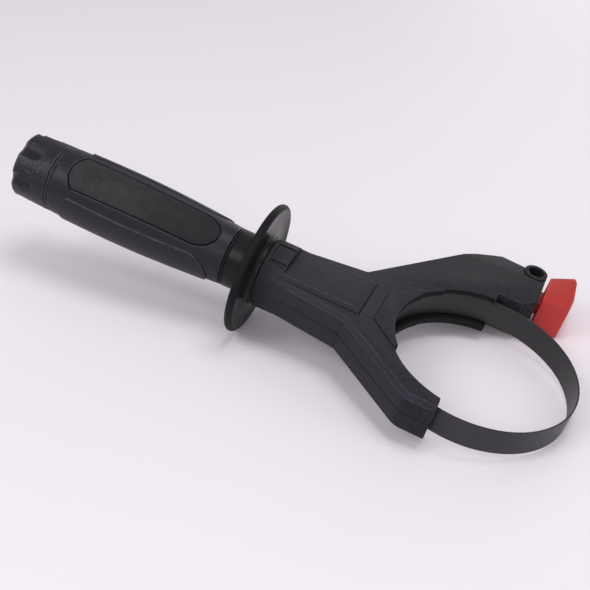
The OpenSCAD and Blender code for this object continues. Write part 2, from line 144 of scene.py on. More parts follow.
# %% [markdown]
# ## The light
# The shadows in the picture are wide, soft and darkest right under the handle, and the front
# walls are as bright as the tops. So about half of the light comes from a pale room all
# round, and the rest from soft boxes: one overhead, two beside the camera, and two weak
# cards, on the right and low behind, which give the guard and the strap something bright to
# reflect. Their powers were found by rendering the floor with one light at a time and
# weighing the pictures until the shadows agreed.

# %% Light
bpy.context.scene.view_settings.view_transform = "Standard"


def soft_box(name, towards, distance, size, power, tint):
    data = bpy.data.lights.new(name, "AREA")
    data.shape = "DISK"
    data.size = size
    data.energy = power
    data.color = tint
    lamp = bpy.data.objects.new(name, data)
    bpy.context.scene.collection.objects.link(lamp)
    aim = Vector((-0.08, 0.0, -0.03))
    lamp.location = aim + towards.normalized() * distance
    lamp.rotation_mode = "QUATERNION"
    lamp.rotation_quaternion = towards.to_track_quat("Z", "Y")
    return lamp


def pale_room(strength):
    world = bpy.data.worlds.new("pale_room")
    world.use_nodes = True
    sky = world.node_tree.nodes["Background"]
    sky.inputs["Color"].default_value = (0.94, 0.93, 1.0, 1)
    sky.inputs["Strength"].default_value = strength
    bpy.context.scene.world = world


pale_room(0.527)
box_distance, box_size = 1.3, 0.6
for name, towards, power in (
    ("overhead_box", (0, 0, 1), 5.0),
    ("front_left_box", (-0.7, -0.7, 0.8), 3.6),
    ("front_box", (0, -1, 0.7), 2.0),
    ("right_card", (1, 0, 0.7), 1.4),
    ("back_card", (0, 1, 0.25), 1.8),
):
    soft_box(name, Vector(towards), box_distance, box_size, power, (1.0, 0.99, 0.98))

# %% [markdown]
# ## Shader groups
# Several finishes share the same effects: the fine texture that a mould leaves in plastic,
# edges rubbed lighter, cloudy dust, and small dried specks. Each effect is a node group with
# named inputs, built once, so that every finish can use it with its own values.

# %% A helper that starts a node group
def start_group(name, inputs, outputs):
    group = bpy.data.node_groups.new(name, "ShaderNodeTree")
    for label, kind, value in inputs:
        socket = group.interface.new_socket(name=label, in_out="INPUT", socket_type=kind)
        if value is not None:
            socket.default_value = value
    for label, kind in outputs:
        group.interface.new_socket(name=label, in_out="OUTPUT", socket_type=kind)
    source = group.nodes.new("NodeGroupInput")
    sink = group.nodes.new("NodeGroupOutput")
    source.location, sink.location = (-900, 0), (600, 0)
    return group, source, sink


FLOAT, VECTOR = "NodeSocketFloat", "NodeSocketVector"


def math_node(tree, operation, a, b=None, clamp=False):
    node = tree.nodes.new("ShaderNodeMath")
    node.operation = operation
    node.use_clamp = clamp
    for socket, value in zip(node.inputs, (a, b)):
        if value is None:
            continue
        if isinstance(value, (int, float)):
            socket.default_value = value
        else:
            tree.links.new(value, socket)
    return node.outputs[0]


def step_node(tree, value, low, high):
    node = tree.nodes.new("ShaderNodeMapRange")
    node.interpolation_type = "SMOOTHSTEP"
    for label, v in (("Value", value), ("From Min", low), ("From Max", high)):
        if isinstance(v, (int, float)):
            node.inputs[label].default_value = v
        else:
            tree.links.new(v, node.inputs[label])
    return node.outputs["Result"]


def noise_node(tree, where, scale, detail=4.0, roughness=0.6):
    node = tree.nodes.new("ShaderNodeTexNoise")
    tree.links.new(where, node.inputs["Vector"])
    if isinstance(scale, (int, float)):
        node.inputs["Scale"].default_value = scale
    else:
        tree.links.new(scale, node.inputs["Scale"])
    node.inputs["Detail"].default_value = detail
    node.inputs["Roughness"].default_value = roughness
    return node.outputs["Fac"]


print("node helpers ready")

# %% [markdown]
# ### Mould grain
# A charcoal moulding isn't smooth: the mould is etched, and the plastic copies a pattern of
# tiny flat pits a few tenths of a millimetre across. Cells give the pits and noise breaks
# them up. Height feeds a Bump node, and Fleck picks the few spots that catch the light.

# %% Mould grain
def build_mould_grain():
    g, i, o = start_group("Mould grain", [
        ("Place", VECTOR, None), ("Grains per metre", FLOAT, 1500.0), ("Cell share", FLOAT, 0.5),
    ], [("Height", FLOAT), ("Fleck", FLOAT)])
    cells = g.nodes.new("ShaderNodeTexVoronoi")
    cells.feature = "SMOOTH_F1"
    g.links.new(i.outputs["Place"], cells.inputs["Vector"])
    g.links.new(i.outputs["Grains per metre"], cells.inputs["Scale"])
    fine = noise_node(g, i.outputs["Place"], i.outputs["Grains per metre"], 5.0, 0.7)
    pits = math_node(g, "MULTIPLY", cells.outputs["Distance"], i.outputs["Cell share"])
    g.links.new(math_node(g, "ADD", fine, pits), o.inputs["Height"])
    g.links.new(step_node(g, fine, 0.56, 0.74), o.inputs["Fleck"])
    return g


mould_grain = build_mould_grain()
print("group:", mould_grain.name)

# %% [markdown]
# ### Edge rub and corner shade
# Hands and tool boxes rub the edges first. The edges that get rounded further down carry an
# attribute called rounded_edge, 1 on the new strips and 0 elsewhere. The group reads it and
# breaks it up with noise, so that the rub comes and goes along an edge. Inner corners carry
# inner_line in the same way, and the corner shade output passes it on: finishes darken it as
# painted shade in the corners.

# %% Edge rub and corner shade
def build_edge_rub():
    g, i, o = start_group("Edge rub and corner shade", [
        ("Place", VECTOR, None), ("Patches per metre", FLOAT, 160.0), ("Amount", FLOAT, 0.5),
    ], [("Mask", FLOAT), ("Painted corner shade", FLOAT)])
    strip = g.nodes.new("ShaderNodeAttribute")
    strip.attribute_name = "rounded_edge"
    groove = g.nodes.new("ShaderNodeAttribute")
    groove.attribute_name = "inner_line"
    # painted shade: the inner corner strips, away from rounded edges
    corner_shade_strip = math_node(g, "MULTIPLY", groove.outputs["Fac"], math_node(g, "SUBTRACT", 1.0, strip.outputs["Fac"]))
    g.links.new(math_node(g, "MULTIPLY", corner_shade_strip, 0.85), o.inputs["Painted corner shade"])
    patches = noise_node(g, i.outputs["Place"], i.outputs["Patches per metre"], 5.0, 0.65)
    broken = math_node(g, "MULTIPLY", step_node(g, patches, 0.38, 0.66), strip.outputs["Fac"])
    steady = math_node(g, "MULTIPLY", strip.outputs["Fac"], 0.3)
    both = math_node(g, "ADD", broken, steady, clamp=True)
    g.links.new(math_node(g, "MULTIPLY", both, i.outputs["Amount"]), o.inputs["Mask"])
    return g


edge_rub_and_corner_shade = build_edge_rub()
print("group:", edge_rub_and_corner_shade.name)

# %% [markdown]
# ### Haze
# Dust, skin grease and scuffs lie in clouds, denser in some places than in others. Wide noise
# makes the clouds, and fine noise makes them grainy inside.

# %% Haze
def build_haze():
    g, i, o = start_group("Haze", [
        ("Place", VECTOR, None), ("Clouds per metre", FLOAT, 60.0),
        ("Low", FLOAT, 0.45), ("High", FLOAT, 0.75), ("Amount", FLOAT, 0.5),
    ], [("Mask", FLOAT)])
    wide = noise_node(g, i.outputs["Place"], i.outputs["Clouds per metre"], 6.0, 0.62)
    fine = noise_node(g, i.outputs["Place"], 2600.0, 3.0, 0.7)
    clouds = step_node(g, wide, i.outputs["Low"], i.outputs["High"])
    grainy = math_node(g, "MULTIPLY", clouds, step_node(g, fine, 0.3, 0.62))
    g.links.new(math_node(g, "MULTIPLY", grainy, i.outputs["Amount"]), o.inputs["Mask"])
    return g


haze = build_haze()
print("group:", haze.name)

# %% [markdown]
# ### Specks
# Single grains of dust and dried drops sit apart from each other. Cells again: only the very
# middle of a cell counts, and only in cells whose random colour is high enough.

# %% Specks
def build_specks():
    g, i, o = start_group("Specks", [
        ("Place", VECTOR, None), ("Specks per metre", FLOAT, 260.0),
        ("Size", FLOAT, 0.12), ("Share", FLOAT, 0.2),
    ], [("Mask", FLOAT)])
    cells = g.nodes.new("ShaderNodeTexVoronoi")
    cells.feature = "F1"
    g.links.new(i.outputs["Place"], cells.inputs["Vector"])
    g.links.new(i.outputs["Specks per metre"], cells.inputs["Scale"])
    near = math_node(g, "LESS_THAN", cells.outputs["Distance"], i.outputs["Size"])
    parts = g.nodes.new("ShaderNodeSeparateColor")
    g.links.new(cells.outputs["Color"], parts.inputs["Color"])
    picked = math_node(g, "LESS_THAN", parts.outputs["Red"], i.outputs["Share"])
    g.links.new(math_node(g, "MULTIPLY", near, picked), o.inputs["Mask"])
    return g


specks = build_specks()
print("group:", specks.name)

# %% [markdown]
# ## Finishes
# A finish is one material with its own Principled shader. What is the same all over sits on
# the shader's own sockets, and what changes over the surface comes in by links: the colour
# through a few mixes, the roughness through a mask, and the normal through a Bump node. All
# patterns read object coordinates, because each piece lies at its true place.

# %% Helpers for finishes
def start_finish(name, roughness, specular=0.5, metallic=0.0):
    finish = bpy.data.materials.new(name)
    finish.use_nodes = True
    tree = finish.node_tree
    shader = tree.nodes["Principled BSDF"]
    shader.inputs["Roughness"].default_value = roughness
    shader.inputs["Specular IOR Level"].default_value = specular
    shader.inputs["Metallic"].default_value = metallic
    place = tree.nodes.new("ShaderNodeTexCoord").outputs["Object"]
    return finish, tree, shader, place


def use_group(tree, group, place, **values):
    node = tree.nodes.new("ShaderNodeGroup")
    node.node_tree = group
    tree.links.new(place, node.inputs["Place"])
    for label, value in values.items():
        node.inputs[label.replace("_", " ")].default_value = value
    return node


def mix_colour(tree, share, low, high):
    node = tree.nodes.new("ShaderNodeMix")
    node.data_type = "RGBA"
    tree.links.new(share, node.inputs["Factor"])
    for socket, value in ((node.inputs["A"], low), (node.inputs["B"], high)):
        if isinstance(value, tuple):
            socket.default_value = (*value, 1)
        else:
            tree.links.new(value, socket)
    return node.outputs["Result"]


def bump(tree, shader, height, distance, strength=1.0):
    node = tree.nodes.new("ShaderNodeBump")
    node.inputs["Strength"].default_value = strength
    node.inputs["Distance"].default_value = distance
    tree.links.new(height, node.inputs["Height"])
    tree.links.new(node.outputs["Normal"], shader.inputs["Normal"])
    return node


def scaled(tree, value, low, high):
    node = tree.nodes.new("ShaderNodeMapRange")
    tree.links.new(value, node.inputs["Value"])
    node.inputs["To Min"].default_value = low
    node.inputs["To Max"].default_value = high
    return node.outputs["Result"]


print("finish helpers ready")

# %% [markdown]
# ### Fork plastic
# Glass-filled charcoal nylon: dull and evenly grained. A mask on the normal finds the bevels:
# they lean halfway between the flat faces and the walls, and get a bluish sheen that is a
# painted highlight. Two masks on the distance from an axis paint shade inside the cradle,
# under the tool's collar, and inside the rod's hole. A mask on the height draws the dark
# parting seam. Walls turned towards the grip get painted light, and inner corners painted
# shade.

# %% Fork plastic
def between(tree, value, low, high, soft):
    rise = step_node(tree, value, low - soft, low + soft)
    fall = step_node(tree, value, high - soft, high + soft)
    return math_node(tree, "SUBTRACT", rise, fall)


def split(tree, vector):
    parts = tree.nodes.new("ShaderNodeSeparateXYZ")
    tree.links.new(vector, parts.inputs["Vector"])
    return parts.outputs


def distance_from(tree, place, x, y):
    parts = split(tree, place)
    dx, dy = math_node(tree, "SUBTRACT", parts["X"], x), math_node(tree, "SUBTRACT", parts["Y"], y)
    total = math_node(tree, "ADD", math_node(tree, "POWER", dx, 2.0), math_node(tree, "POWER", dy, 2.0))
    return math_node(tree, "SQRT", total)


def make_fork_plastic():
    finish, tree, shader, place = start_finish("fork_plastic", 0.60, 0.14)
    grain = use_group(tree, mould_grain, place, Grains_per_metre=1150.0, Cell_share=0.7)
    cloud = use_group(tree, haze, place, Clouds_per_metre=45.0, Low=0.4, High=0.8, Amount=0.35)
    rub = use_group(tree, edge_rub_and_corner_shade, place, Patches_per_metre=220.0, Amount=0.42)
    dust = use_group(tree, specks, place, Specks_per_metre=210.0, Size=0.045, Share=0.07)
    normal = split(tree, tree.nodes.new("ShaderNodeNewGeometry").outputs["Normal"])
    height = split(tree, place)["Z"]
    bevel = math_node(tree, "MULTIPLY", between(tree, normal["Z"], 0.58, 0.82, 0.04),
                      math_node(tree, "LESS_THAN", height, 0.01095))
    streaks = noise_node(tree, place, 320.0, 5.0, 0.7)
    # painted highlight: a bluish sheen on the bevels, streaked by noise
    painted_sheen = math_node(tree, "MULTIPLY", bevel, step_node(tree, streaks, 0.3, 0.7))
    seam = between(tree, height, -0.00030, 0.00030, 0.00012)
    clear_of_seam = math_node(tree, "SUBTRACT", 1.0, between(tree, height, -0.0010, 0.0010, 0.0001))
    rubbed = math_node(tree, "MULTIPLY", rub.outputs["Mask"], clear_of_seam)
    # painted shade inside the cradle, on faces that don't look up
    inside = math_node(tree, "SUBTRACT", 1.0, step_node(tree, distance_from(tree, place, 0.0, 0.0), 0.0500, 0.0516))
    facing_up = math_node(tree, "MULTIPLY", step_node(tree, normal["Z"], 0.35, 0.6), step_node(tree, height, 0.005, 0.007))
    cradle = math_node(tree, "MULTIPLY", inside, math_node(tree, "SUBTRACT", 1.0, facing_up))
    # painted shade inside the rod's hole
    rod_hole = math_node(tree, "LESS_THAN", distance_from(tree, place, 0.0093, 0.0883), 0.00468)
    painted_shade_in_hollows = math_node(tree, "MAXIMUM", math_node(tree, "MULTIPLY", cradle, 0.75), math_node(tree, "MULTIPLY", rod_hole, 0.8))
    # painted shade in the inner corners, strongest on faces that look up, weak beside the neck
    on_a_floor = scaled(tree, step_node(tree, normal["Z"], 0.08, 0.35), 0.35, 1.15)
    below_panel = math_node(tree, "LESS_THAN", height, 0.0105)
    beside_neck = math_node(tree, "MULTIPLY", below_panel, math_node(tree, "LESS_THAN", split(tree, place)["X"], -0.102))
    on_a_floor = math_node(tree, "MULTIPLY", on_a_floor, scaled(tree, beside_neck, 1.0, 0.15))
    painted_corner_shade = math_node(tree, "MULTIPLY", rub.outputs["Painted corner shade"], on_a_floor)
    outside_hole = math_node(tree, "SUBTRACT", 1.0, rod_hole)
    # painted corner shade and the dark parting seam, kept out of the rod's hole
    corner_shade_and_seam = math_node(tree, "MULTIPLY", math_node(tree, "MAXIMUM", painted_corner_shade, math_node(tree, "MULTIPLY", seam, 0.45)),
                      outside_hole, clamp=True)
    held = math_node(tree, "SUBTRACT", 1.0, step_node(tree, split(tree, place)["X"], -0.082, -0.030))
    colour = mix_colour(tree, held, (0.0162, 0.0157, 0.0188), (0.0258, 0.0251, 0.0289))
    # painted light: walls turned towards the grip are lighter
    painted_light_on_walls = math_node(tree, "MULTIPLY", step_node(tree, math_node(tree, "MULTIPLY", normal["X"], -1.0), 0.3, 0.7),
                           math_node(tree, "LESS_THAN", math_node(tree, "ABSOLUTE", normal["Z"]), 0.3))
    colour = mix_colour(tree, math_node(tree, "MULTIPLY", painted_light_on_walls, 0.75), colour, (0.0345, 0.0335, 0.0385))
    mottle = step_node(tree, noise_node(tree, place, 480.0, 6.0, 0.8), 0.40, 0.64)
    colour = mix_colour(tree, math_node(tree, "MULTIPLY", mottle, 0.42), colour, (0.0395, 0.0385, 0.0438))
    colour = mix_colour(tree, math_node(tree, "MULTIPLY", grain.outputs["Fleck"], 0.55), colour, (0.0440, 0.0420, 0.0465))
    colour = mix_colour(tree, cloud.outputs["Mask"], colour, (0.0430, 0.0412, 0.0450))
    # the painted bluish sheen on the bevels
    colour = mix_colour(tree, math_node(tree, "MULTIPLY", painted_sheen, 0.7), colour, (0.0370, 0.0350, 0.0580))
    colour = mix_colour(tree, rubbed, colour, (0.085, 0.083, 0.094))
    colour = mix_colour(tree, dust.outputs["Mask"], colour, (0.100, 0.097, 0.094))
    # painted shade in the cradle and in the rod's hole
    colour = mix_colour(tree, painted_shade_in_hollows, colour, (0.0060, 0.0057, 0.0062))
    # painted shade in the inner corners, and the dark parting seam
    colour = mix_colour(tree, corner_shade_and_seam, colour, (0.0030, 0.0029, 0.0032))
    tree.links.new(colour, shader.inputs["Base Color"])
    tree.links.new(scaled(tree, grain.outputs["Height"], 0.54, 0.68), shader.inputs["Roughness"])
    bump(tree, shader, grain.outputs["Height"], 0.00006, 0.55)
    return finish


fork_plastic = make_fork_plastic()
print("finish:", fork_plastic.name)

# %% [markdown]
# ### Grip plastic
# The sleeve and the knob are a smoother charcoal with a blue-violet tint. Hands leave pale
# scuffs, most of them at the knob's end, so one haze is held to the last centimetres of the
# grip by a mask along the handle. A mask on the normal keeps them to the lands turned towards
# the front light, so they are partly a painted highlight. The flutes get painted shade, and the
# rounded rim at the knob's end a painted reflection.

# %% Grip plastic
def make_grip_plastic():
    finish, tree, shader, place = start_finish("grip_plastic", 0.44, 0.27)
    grain = use_group(tree, mould_grain, place, Grains_per_metre=1900.0, Cell_share=0.35)
    cloud = use_group(tree, haze, place, Clouds_per_metre=70.0, Low=0.42, High=0.8, Amount=0.3)
    scuff = use_group(tree, haze, place, Clouds_per_metre=900.0, Low=0.46, High=0.66, Amount=0.65)
    rub = use_group(tree, edge_rub_and_corner_shade, place, Patches_per_metre=260.0, Amount=0.6)
    along = split(tree, place)
    near_end = math_node(tree, "SUBTRACT", 1.0, step_node(tree, along["X"], -0.246, -0.222))
    normal = split(tree, tree.nodes.new("ShaderNodeNewGeometry").outputs["Normal"])
    # painted highlight: only lands turned towards the front light get the pale scuffs
    lean = math_node(tree, "ADD", math_node(tree, "MULTIPLY", normal["Y"], -0.80), math_node(tree, "MULTIPLY", normal["Z"], 0.60))
    facing_front_light = step_node(tree, lean, 0.88, 1.0)
    # painted reflection: a pale line on the rounded rim at the knob's end
    painted_end_rim_reflection = math_node(tree, "SUBTRACT", 1.0, step_node(tree, along["X"], -0.2560, -0.2552))
    radius = math_node(tree, "SQRT", math_node(tree, "ADD", math_node(tree, "POWER", along["Y"], 2.0),
                                               math_node(tree, "POWER", along["Z"], 2.0)))
    painted_end_rim_reflection = math_node(tree, "MULTIPLY", painted_end_rim_reflection, step_node(tree, radius, 0.0138, 0.0158))
    # painted shade in the knob's flutes
    low_down = math_node(tree, "SUBTRACT", 1.0, step_node(tree, radius, 0.0152, 0.0172))
    painted_flute_shade = math_node(tree, "MULTIPLY", low_down, math_node(tree, "LESS_THAN", along["X"], -0.2370))
    front_lit_land = math_node(tree, "MULTIPLY", facing_front_light, math_node(tree, "SUBTRACT", 1.0, low_down))
    scuffs_and_painted_highlight = math_node(tree, "MULTIPLY", math_node(tree, "MULTIPLY", near_end, front_lit_land), scuff.outputs["Mask"])
    colour = mix_colour(tree, grain.outputs["Fleck"], (0.0125, 0.0120, 0.0178), (0.0190, 0.0183, 0.0265))
    colour = mix_colour(tree, cloud.outputs["Mask"], colour, (0.0290, 0.0275, 0.0390))
    # pale scuffs near the knob's end, partly a painted highlight on lands facing the front light
    colour = mix_colour(tree, scuffs_and_painted_highlight, colour, (0.105, 0.101, 0.145))
    colour = mix_colour(tree, rub.outputs["Mask"], colour, (0.070, 0.068, 0.088))
    # painted shade in the flutes
    colour = mix_colour(tree, math_node(tree, "MULTIPLY", painted_flute_shade, 0.45), colour, (0.0050, 0.0048, 0.0060))
    # painted reflection on the knob's end rim
    colour = mix_colour(tree, math_node(tree, "MULTIPLY", painted_end_rim_reflection, 0.5), colour, (0.160, 0.155, 0.160))
    # painted shade in the inner corners
    colour = mix_colour(tree, rub.outputs["Painted corner shade"], colour, (0.0030, 0.0029, 0.0034))
    tree.links.new(colour, shader.inputs["Base Color"])
    tree.links.new(scaled(tree, cloud.outputs["Mask"], 0.40, 0.60), shader.inputs["Roughness"])
    bump(tree, shader, grain.outputs["Height"], 0.00004, 0.4)
    return finish


grip_plastic = make_grip_plastic()
print("finish:", grip_plastic.name)

# %% [markdown]
# ### Inlay rubber
# The two inlays are soft rubber: matt, neutral to brownish, with cloudy wear where the palm
# lies and a few bright grains of dust stuck to it.

# %% Inlay rubber
def make_inlay_rubber():
    finish, tree, shader, place = start_finish("inlay_rubber", 0.72, 0.24)
    grain = use_group(tree, mould_grain, place, Grains_per_metre=2400.0, Cell_share=0.3)
    palm = use_group(tree, haze, place, Clouds_per_metre=52.0, Low=0.40, High=0.66, Amount=0.85)
    dust = use_group(tree, specks, place, Specks_per_metre=120.0, Size=0.035, Share=0.14)
    along = split(tree, place)["X"]
    towards_guard = step_node(tree, along, -0.205, -0.146)
    colour = mix_colour(tree, grain.outputs["Fleck"], (0.0160, 0.0153, 0.0172), (0.0225, 0.0215, 0.0240))
    mottle = step_node(tree, noise_node(tree, place, 170.0, 5.0, 0.7), 0.36, 0.66)
    colour = mix_colour(tree, palm.outputs["Mask"], colour, (0.0390, 0.0368, 0.0400))
    colour = mix_colour(tree, math_node(tree, "MULTIPLY", mottle, 0.30), colour, (0.0500, 0.0470, 0.0500))
    colour = mix_colour(tree, math_node(tree, "MULTIPLY", towards_guard, 0.75), colour, (0.0100, 0.0096, 0.0106))
    colour = mix_colour(tree, dust.outputs["Mask"], colour, (0.34, 0.33, 0.32))
    tree.links.new(colour, shader.inputs["Base Color"])
    tree.links.new(scaled(tree, palm.outputs["Mask"], 0.66, 0.80), shader.inputs["Roughness"])
    bump(tree, shader, grain.outputs["Height"], 0.00003, 0.4)
    return finish


inlay_rubber = make_inlay_rubber()
print("finish:", inlay_rubber.name)

# %% [markdown]
# ### Guard plastic
# The guard is the only glossy black piece. Dust shows on gloss: a grey film on the upper
# part of its front face, which there is also a painted reflection, and short pale marks where
# drops dried around the hub. The rim gets painted shade.

# %% Guard plastic
def make_guard_plastic():
    finish, tree, shader, place = start_finish("guard_plastic", 0.36, 0.15)
    film = use_group(tree, haze, place, Clouds_per_metre=55.0, Low=0.30, High=0.72, Amount=0.9)
    streak = tree.nodes.new("ShaderNodeMapping")
    streak.inputs["Scale"].default_value = (1.0, 0.35, 1.0)
    tree.links.new(place, streak.inputs["Vector"])
    drops = use_group(tree, specks, streak.outputs["Vector"], Specks_per_metre=420.0, Size=0.16,
                      Share=0.10)
    rub = use_group(tree, edge_rub_and_corner_shade, place, Patches_per_metre=200.0, Amount=0.5)
    parts = tree.nodes.new("ShaderNodeSeparateXYZ")
    tree.links.new(tree.nodes.new("ShaderNodeNewGeometry").outputs["Normal"], parts.inputs["Vector"])
    where = tree.nodes.new("ShaderNodeSeparateXYZ")
    tree.links.new(place, where.inputs["Vector"])
    front = step_node(tree, parts.outputs["X"], 0.55, 0.95)
    upper = step_node(tree, where.outputs["Y"], 0.002, 0.022)
    # dust, and a painted reflection, on the upper part of the front face
    dust_and_painted_reflection = math_node(tree, "MULTIPLY", math_node(tree, "MULTIPLY", front, upper), film.outputs["Mask"])
    dried = math_node(tree, "MULTIPLY", math_node(tree, "MULTIPLY", front, drops.outputs["Mask"]), 0.6)
    from_axis = math_node(tree, "SQRT", math_node(tree, "ADD", math_node(tree, "POWER", where.outputs["Y"], 2.0),
                                                  math_node(tree, "POWER", where.outputs["Z"], 2.0)))
    # painted shade: the guard's rim is darker, and rougher
    painted_shade_rim = step_node(tree, from_axis, 0.0325, 0.0342)
    colour = mix_colour(tree, film.outputs["Mask"], (0.0085, 0.0080, 0.0092), (0.0150, 0.0143, 0.0160))
    # grey dust film that also stands in for a painted reflection
    colour = mix_colour(tree, dust_and_painted_reflection, colour, (0.085, 0.079, 0.083))
    colour = mix_colour(tree, dried, colour, (0.22, 0.21, 0.21))
    colour = mix_colour(tree, rub.outputs["Mask"], colour, (0.018, 0.017, 0.019))
    # painted shade in the inner corners
    colour = mix_colour(tree, rub.outputs["Painted corner shade"], colour, (0.0020, 0.0020, 0.0022))
    # painted shade on the rim
    colour = mix_colour(tree, math_node(tree, "MULTIPLY", painted_shade_rim, 0.5), colour, (0.0020, 0.0020, 0.0022))
    tree.links.new(colour, shader.inputs["Base Color"])
    dull = math_node(tree, "ADD", scaled(tree, film.outputs["Mask"], 0.26, 0.40),
                     math_node(tree, "MULTIPLY", math_node(tree, "MAXIMUM", dust_and_painted_reflection, painted_shade_rim), 0.25))
    tree.links.new(dull, shader.inputs["Roughness"])
    bump(tree, shader, noise_node(tree, place, 600.0, 3.0, 0.5), 0.00002, 0.4)
    return finish


guard_plastic = make_guard_plastic()
print("finish:", guard_plastic.name)

# %% [markdown]
# ### Strap paint
# The strap is spring steel with a thin satin black coat. It has no grain, only very faint
# lines along its length from rolling, and its cut edges are darker, almost black.

# %% Strap paint
def make_strap_paint():
    finish, tree, shader, place = start_finish("strap_paint", 0.40, 0.40, 0.0)
    rolled = tree.nodes.new("ShaderNodeMapping")
    rolled.inputs["Scale"].default_value = (0.06, 0.06, 1.0)
    tree.links.new(place, rolled.inputs["Vector"])
    lines = noise_node(tree, rolled.outputs["Vector"], 2600.0, 3.0, 0.6)
    film = use_group(tree, haze, place, Clouds_per_metre=40.0, Low=0.35, High=0.8, Amount=0.5)
    rub = use_group(tree, edge_rub_and_corner_shade, place, Patches_per_metre=120.0, Amount=0.9)
    colour = mix_colour(tree, lines, (0.0195, 0.0188, 0.0212), (0.0255, 0.0247, 0.0275))
    colour = mix_colour(tree, film.outputs["Mask"], colour, (0.0380, 0.0360, 0.0380))
    # the rounded edges are darker, almost black
    colour = mix_colour(tree, rub.outputs["Mask"], colour, (0.0040, 0.0038, 0.0040))
    tree.links.new(colour, shader.inputs["Base Color"])
    tree.links.new(scaled(tree, lines, 0.34, 0.46), shader.inputs["Roughness"])
    bump(tree, shader, lines, 0.00001, 0.35)
    return finish


strap_paint = make_strap_paint()
print("finish:", strap_paint.name)

# %% [markdown]
# ### Zinc and red plastic
# The screws, rod, nut, washer and spring are zinc-plated steel: metallic, with fine
# scratches and a cloudy bloom. The button is a satin red plastic, paler on its rubbed edges,
# with painted shade on the faces that look up.

# %% Zinc plate
def make_zinc_plate(name, thread_pitch=None):
    finish, tree, shader, place = start_finish(name, 0.32, 0.5, 1.0)
    bloom = use_group(tree, haze, place, Clouds_per_metre=190.0, Low=0.35, High=0.75, Amount=0.6)
    scratches = noise_node(tree, place, 3200.0, 2.0, 0.4)
    colour = mix_colour(tree, bloom.outputs["Mask"], (0.60, 0.60, 0.61), (0.42, 0.42, 0.41))
    tree.links.new(colour, shader.inputs["Base Color"])
    tree.links.new(scaled(tree, bloom.outputs["Mask"], 0.26, 0.48), shader.inputs["Roughness"])
    if thread_pitch is None:
        bump(tree, shader, scratches, 0.00001, 0.3)
        return finish
    wave = tree.nodes.new("ShaderNodeTexWave")
    wave.wave_type, wave.bands_direction, wave.wave_profile = "BANDS", "X", "TRI"
    wave.inputs["Scale"].default_value = 1 / thread_pitch / 20 * 2 * math.pi
    tree.links.new(place, wave.inputs["Vector"])
    bump(tree, shader, wave.outputs["Fac"], 0.0006, 1.0)
    return finish


zinc_plate = make_zinc_plate("zinc_plate")
rod_thread = make_zinc_plate("rod_thread", thread_pitch=0.00125)
print("finishes:", zinc_plate.name, rod_thread.name)


# %% Red plastic
def make_red_plastic():
    finish, tree, shader, place = start_finish("red_plastic", 0.50, 0.10)
    grain = use_group(tree, mould_grain, place, Grains_per_metre=1700.0, Cell_share=0.4)
    film = use_group(tree, haze, place, Clouds_per_metre=90.0, Low=0.40, High=0.8, Amount=0.35)
    rub = use_group(tree, edge_rub_and_corner_shade, place, Patches_per_metre=180.0, Amount=0.35)
    normal = split(tree, tree.nodes.new("ShaderNodeNewGeometry").outputs["Normal"])
    # painted shade: faces that look up are darker
    painted_shade_on_top = step_node(tree, normal["Z"], 0.35, 0.85)
    colour = mix_colour(tree, grain.outputs["Fleck"], (0.570, 0.058, 0.055), (0.605, 0.068, 0.063))
    # painted shade on the top faces
    colour = mix_colour(tree, math_node(tree, "MULTIPLY", painted_shade_on_top, 0.8), colour, (0.375, 0.024, 0.018))
    colour = mix_colour(tree, film.outputs["Mask"], colour, (0.53, 0.055, 0.049))
    colour = mix_colour(tree, rub.outputs["Mask"], colour, (0.62, 0.105, 0.095))
    tree.links.new(colour, shader.inputs["Base Color"])
    tree.links.new(scaled(tree, film.outputs["Mask"], 0.46, 0.60), shader.inputs["Roughness"])
    bump(tree, shader, grain.outputs["Height"], 0.00003, 0.35)
    return finish


red_plastic = make_red_plastic()
print("finish:", red_plastic.name)


# %% Table top
def make_table_top():
    finish, tree, shader, place = start_finish("table_top", 0.55, 0.25)
    cloud = noise_node(tree, place, 3.0, 3.0, 0.5)
    colour = mix_colour(tree, cloud, (0.84, 0.795, 0.835), (0.87, 0.825, 0.865))
    tree.links.new(colour, shader.inputs["Base Color"])
    return finish


table.data.materials.append(make_table_top())
print("finish: table_top")

# %% [markdown]
# ## Moulded pieces with soft edges
# No moulded edge is knife-sharp: it has a radius of a few tenths of a millimetre, and that
# radius is what catches the light and outlines the piece. The imported meshes are exact but
# sharp, so each visible piece is copied, its triangles are merged into a closed skin, and
# its sharp edges are bevelled in edit mode, in two rounds. Inner corners get a hair-fine
# strip that the finishes darken as painted shade, and outer edges get their real radius. The
# bevel operator leaves its new strips selected, and a flat face between them too, so only
# narrow faces are marked with the attributes that the finishes read. The shells' parting seam
# stays crisp.

# %% Copy a imported piece and merge its triangles
def merged_copy(node, name, flat_angle=0.3):
    clear_selection()
    source = frame["nodes"][node]
    source.select_set(True)
    bpy.context.view_layer.objects.active = source
    bpy.ops.object.duplicate()
    piece = bpy.context.active_object
    piece.name = piece.data.name = name
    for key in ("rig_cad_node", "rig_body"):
        if key in piece:
            del piece[key]
    piece.parent = None
    bpy.ops.object.mode_set(mode="EDIT")
    bpy.ops.mesh.select_all(action="SELECT")
    bpy.ops.mesh.remove_doubles(threshold=0.000002)
    bpy.ops.mesh.customdata_custom_splitnormals_clear()
    bpy.ops.mesh.dissolve_limited(angle_limit=math.radians(flat_angle))
    bpy.ops.object.mode_set(mode="OBJECT")
    return piece


